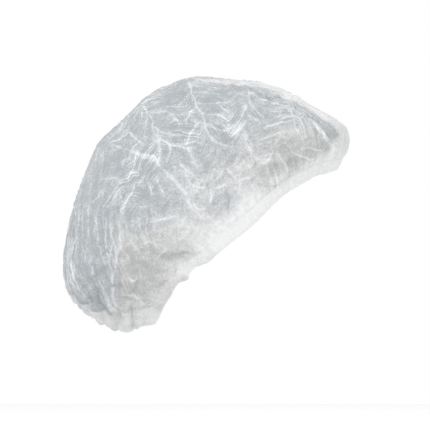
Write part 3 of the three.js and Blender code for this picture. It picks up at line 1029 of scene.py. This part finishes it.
def hem_outline(sizes):
    """The folded hem's section as pairs of up and out: outer leg, fold, inner leg."""
    top = sizes.hem_width
    path = [(top, 0.00050), (top * 0.85, 0.00055), (top * 0.6, 0.0009)]
    path += [(top * 0.25, HEM_OUTER + 0.0002), (0.0, HEM_OUTER)]
    middle, radius = (HEM_OUTER + HEM_INNER) / 2, (HEM_OUTER - HEM_INNER) / 2
    for k in range(1, 8):
        angle = math.pi * k / 8
        path.append((-HEM_BELOW * math.sin(angle), middle + radius * math.cos(angle)))
    path += [(top * share, HEM_INNER) for share in (0.0, 0.35, 0.7, 1.0)]
    path = np.array(path)
    ways = np.gradient(path, axis=0)
    ways /= np.linalg.norm(ways, axis=1, keepdims=True)
    sideways = np.stack([-ways[:, 1], ways[:, 0]], axis=1)
    near = path + sideways * sizes.hem_cloth / 2
    far = path - sideways * sizes.hem_cloth / 2
    return np.concatenate([far, near[::-1]])


def tube_faces(rings, count):
    """Faces between closed rings of corners, the last ring joined to the first."""
    faces = []
    for i in range(rings):
        here, after = i * count, (i + 1) % rings * count
        for k in range(count):
            right = (k + 1) % count
            faces.append((here + k, here + right, after + right, after + k))
    return faces


class CAP_OT_hem(bpy.types.Operator):
    """Make the hem's cloth, folded round the elastic"""

    bl_idname = "cap.hem"
    bl_label = "Make Hem"

    def execute(self, context):
        sizes, colours = context.scene.cap_sizes, context.scene.cap_colours
        line, ways, faces_out, span = hem_strip(sizes, SEGMENTS)
        outline = hem_outline(sizes)
        spots = np.concatenate([line + ways * up + faces_out * out for up, out in outline])
        piece = make_piece("hem_fold", spots, tube_faces(len(outline), SEGMENTS))
        ups = np.concatenate([STRIP_END * up / span for up, out in outline])
        pale, cool = cloth_tones(sizes, spots, ups)
        add_field(piece, "pale", pale + 0.12)
        add_field(piece, "cool", cool)
        piece.data.materials.append(cloth_material("nonwoven_hem", colours, False))
        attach(piece, "root")
        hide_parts("hem_casing")
        return {"FINISHED"}


class Tree:
    """Makes the nodes of one geometry tree with named inputs."""

    def __init__(self, name, inputs):
        self.tree = bpy.data.node_groups.new(name, "GeometryNodeTree")
        face = self.tree.interface
        face.new_socket("Geometry", in_out="INPUT", socket_type="NodeSocketGeometry")
        face.new_socket("Geometry", in_out="OUTPUT", socket_type="NodeSocketGeometry")
        self.keys = {}
        for label, (kind, value) in inputs.items():
            socket = face.new_socket(label, in_out="INPUT", socket_type=kind)
            self.keys[label] = (socket.identifier, value)
        self.start = self.tree.nodes.new("NodeGroupInput")

    def given(self, label):
        return self.start.outputs[label]

    def node(self, kind, settings=None, values=None):
        node = self.tree.nodes.new(kind)
        for key, value in (settings or {}).items():
            setattr(node, key, value)
        for key, value in (values or {}).items():
            if isinstance(value, bpy.types.NodeSocket):
                self.tree.links.new(value, node.inputs[key])
            else:
                node.inputs[key].default_value = value
        return node

    def grow(self, name, corners, edges, last):
        """Runs the tree on a wire of corners and returns the finished mesh as an object."""
        out = self.tree.nodes.new("NodeGroupOutput")
        self.tree.links.new(last, out.inputs["Geometry"])
        wire = bpy.data.meshes.new(name + "_path")
        wire.from_pydata([tuple(p) for p in corners], edges, [])
        piece = bpy.data.objects.new(name, wire)
        bpy.context.scene.collection.objects.link(piece)
        modifier = piece.modifiers.new("grow", "NODES")
        modifier.node_group = self.tree
        for identifier, value in self.keys.values():
            modifier[identifier] = value
        graph = bpy.context.evaluated_depsgraph_get()
        mesh = bpy.data.meshes.new_from_object(piece.evaluated_get(graph), depsgraph=graph)
        piece.modifiers.remove(modifier)
        piece.data = mesh
        mesh.name = name
        return piece


def seam_tree(sizes, thread):
    """A tree that lays stitches along a wire, and its last socket."""
    tree = Tree("seam", {
        "Stitch length": ("NodeSocketFloat", sizes.stitch_length),
        "Thread radius": ("NodeSocketFloat", sizes.thread_radius),
        "Stitch share": ("NodeSocketFloat", 0.78),
        "Seed": ("NodeSocketInt", 7),
        "Thread": ("NodeSocketMaterial", thread),
    })
    curve = tree.node("GeometryNodeMeshToCurve", {}, {"Mesh": tree.given("Geometry")})
    points = tree.node(
        "GeometryNodeCurveToPoints", {"mode": "LENGTH"},
        {"Curve": curve.outputs["Curve"], "Length": tree.given("Stitch length")},
    )
    whole = tree.node("ShaderNodeMath", {"operation": "MULTIPLY"}, {
        0: tree.given("Stitch length"), 1: tree.given("Stitch share"),
    })
    half = tree.node(
        "ShaderNodeMath", {"operation": "MULTIPLY"}, {0: whole.outputs[0], 1: 0.5},
    )
    stretch = tree.node("ShaderNodeCombineXYZ", {}, {
        "X": tree.given("Thread radius"), "Y": tree.given("Thread radius"),
        "Z": half.outputs[0],
    })
    ball = tree.node("GeometryNodeMeshUVSphere", {}, {"Segments": 8, "Rings": 7, "Radius": 1.0})
    stitch = tree.node("GeometryNodeTransform", {}, {
        "Geometry": ball.outputs["Mesh"], "Scale": stretch.outputs[0],
    })
    tilt = tree.node("FunctionNodeRandomValue", {"data_type": "FLOAT_VECTOR"}, {
        0: (-0.10, -0.10, 0.0), 1: (0.10, 0.10, 0.0), "Seed": tree.given("Seed"),
    })
    lean = tree.node("FunctionNodeEulerToRotation", {}, {0: tilt.outputs[0]})
    turned = tree.node("FunctionNodeRotateRotation", {"rotation_space": "LOCAL"}, {
        0: points.outputs["Rotation"], 1: lean.outputs[0],
    })
    placed = tree.node("GeometryNodeInstanceOnPoints", {}, {
        "Points": points.outputs["Points"], "Instance": stitch.outputs[0],
        "Rotation": turned.outputs[0],
    })
    real = tree.node("GeometryNodeRealizeInstances", {}, {0: placed.outputs[0]})
    smooth = tree.node("GeometryNodeSetShadeSmooth", {}, {0: real.outputs[0]})
    dressed = tree.node("GeometryNodeSetMaterial", {}, {
        "Geometry": smooth.outputs[0], "Material": tree.given("Thread"),
    })
    return tree, dressed.outputs[0]


class CAP_OT_stitches(bpy.types.Operator):
    """Sew the hem's seam, one stitch after another along its upper edge"""

    bl_idname = "cap.stitches"
    bl_label = "Sew Hem"

    def execute(self, context):
        sizes = context.scene.cap_sizes
        line, ways, faces, span = hem_strip(sizes, SEGMENTS)
        path = line + ways * (sizes.hem_width - SEAM_FROM_TOP) + faces * SEAM_OUT
        edges = [(k, (k + 1) % SEGMENTS) for k in range(SEGMENTS)]
        thread = thread_material("seam_thread", context.scene.cap_colours.pale)
        tree, last = seam_tree(sizes, thread)
        piece = tree.grow("hem_stitches", path, edges, last)
        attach(piece, "root")
        return {"FINISHED"}


class CAP_OT_elastic(bpy.types.Operator):
    """Give the elastic band its ribbed finish"""

    bl_idname = "cap.elastic"
    bl_label = "Finish Elastic"

    def execute(self, context):
        node = bpy.data.objects["elastic_band"]
        finish = elastic_material("covered_elastic", context.scene.cap_colours.elastic)
        node.data.materials.clear()
        node.data.materials.append(finish)
        return {"FINISHED"}


def make_floor(scene):
    half, low = FLOOR_HALF, FLOOR_LEVEL
    corners = [(-half, -half, low), (half, -half, low), (half, half, low), (-half, half, low)]
    floor = make_piece("floor", corners, [(0, 1, 2, 3)], smooth=False)
    floor.data.materials.append(floor_material("studio_floor", scene.cap_colours.floor))


def make_daylight(scene):
    world = bpy.data.worlds.new("studio")
    world.use_nodes = True
    background = world.node_tree.nodes["Background"]
    background.inputs["Color"].default_value = (1.0, 1.0, 1.0, 1.0)
    background.inputs["Strength"].default_value = 1.0
    scene.world = world
    scene.view_settings.view_transform = "Standard"


def make_lights(scene):
    for name, spot, width, power in LIGHTS:
        lamp = bpy.data.lights.new(name, "AREA")
        lamp.size = width
        lamp.energy = power
        holder = bpy.data.objects.new(name, lamp)
        holder.location = spot
        aim = np.array(LIGHTS_AIM) - np.array(spot)
        turn_z = math.atan2(aim[1], aim[0]) - math.pi / 2
        turn_x = math.pi / 2 + math.atan2(aim[2], math.hypot(aim[0], aim[1]))
        holder.rotation_euler = (turn_x, 0.0, turn_z)
        scene.collection.objects.link(holder)


def make_camera(scene):
    camera = bpy.data.cameras.new("camera")
    view = bpy.data.objects.new("camera", camera)
    view.location = (VIEW_X, -VIEW_AWAY, VIEW_Z)
    view.rotation_euler = (math.pi / 2, 0.0, 0.0)
    camera.sensor_width = SENSOR_WIDTH
    camera.lens = SENSOR_WIDTH * VIEW_AWAY / VIEW_WIDTH
    camera.clip_end = 30.0
    scene.collection.objects.link(view)
    scene.camera = view


class CAP_OT_stage(bpy.types.Operator):
    """Make the pale floor, the soft lights and the camera"""

    bl_idname = "cap.stage"
    bl_label = "Make Stage"

    def execute(self, context):
        make_floor(context.scene)
        make_daylight(context.scene)
        make_lights(context.scene)
        make_camera(context.scene)
        return {"FINISHED"}


class CAP_PT_panel(bpy.types.Panel):
    bl_label = "Hair Cap"
    bl_idname = "CAP_PT_panel"
    bl_space_type = "VIEW_3D"
    bl_region_type = "UI"
    bl_category = "Hair Cap"

    def draw(self, context):
        layout = self.layout
        for group in (context.scene.cap_sizes, context.scene.cap_colours):
            column = layout.column(align=True)
            for name in group.bl_rna.properties.keys():
                if name not in {"rna_type", "name"}:
                    column.prop(group, name)
        for operator in OPERATORS:
            layout.operator(operator.bl_idname)


OPERATORS = (CAP_OT_crown, CAP_OT_hem, CAP_OT_stitches, CAP_OT_elastic, CAP_OT_stage)
CLASSES = (CapSizes, CapColours, *OPERATORS, CAP_PT_panel)


def register():
    for kind in CLASSES:
        bpy.utils.register_class(kind)
    bpy.types.Scene.cap_sizes = PointerProperty(type=CapSizes)
    bpy.types.Scene.cap_colours = PointerProperty(type=CapColours)


def unregister():
    del bpy.types.Scene.cap_colours
    del bpy.types.Scene.cap_sizes
    for kind in reversed(CLASSES):
        bpy.utils.unregister_class(kind)


def main():
    register()
    bpy.ops.cap.stitches()
    bpy.ops.cap.hem()
    bpy.ops.cap.crown()
    bpy.ops.cap.elastic()
    bpy.ops.cap.stage()
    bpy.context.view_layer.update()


if __name__ == "__main__":
    main()
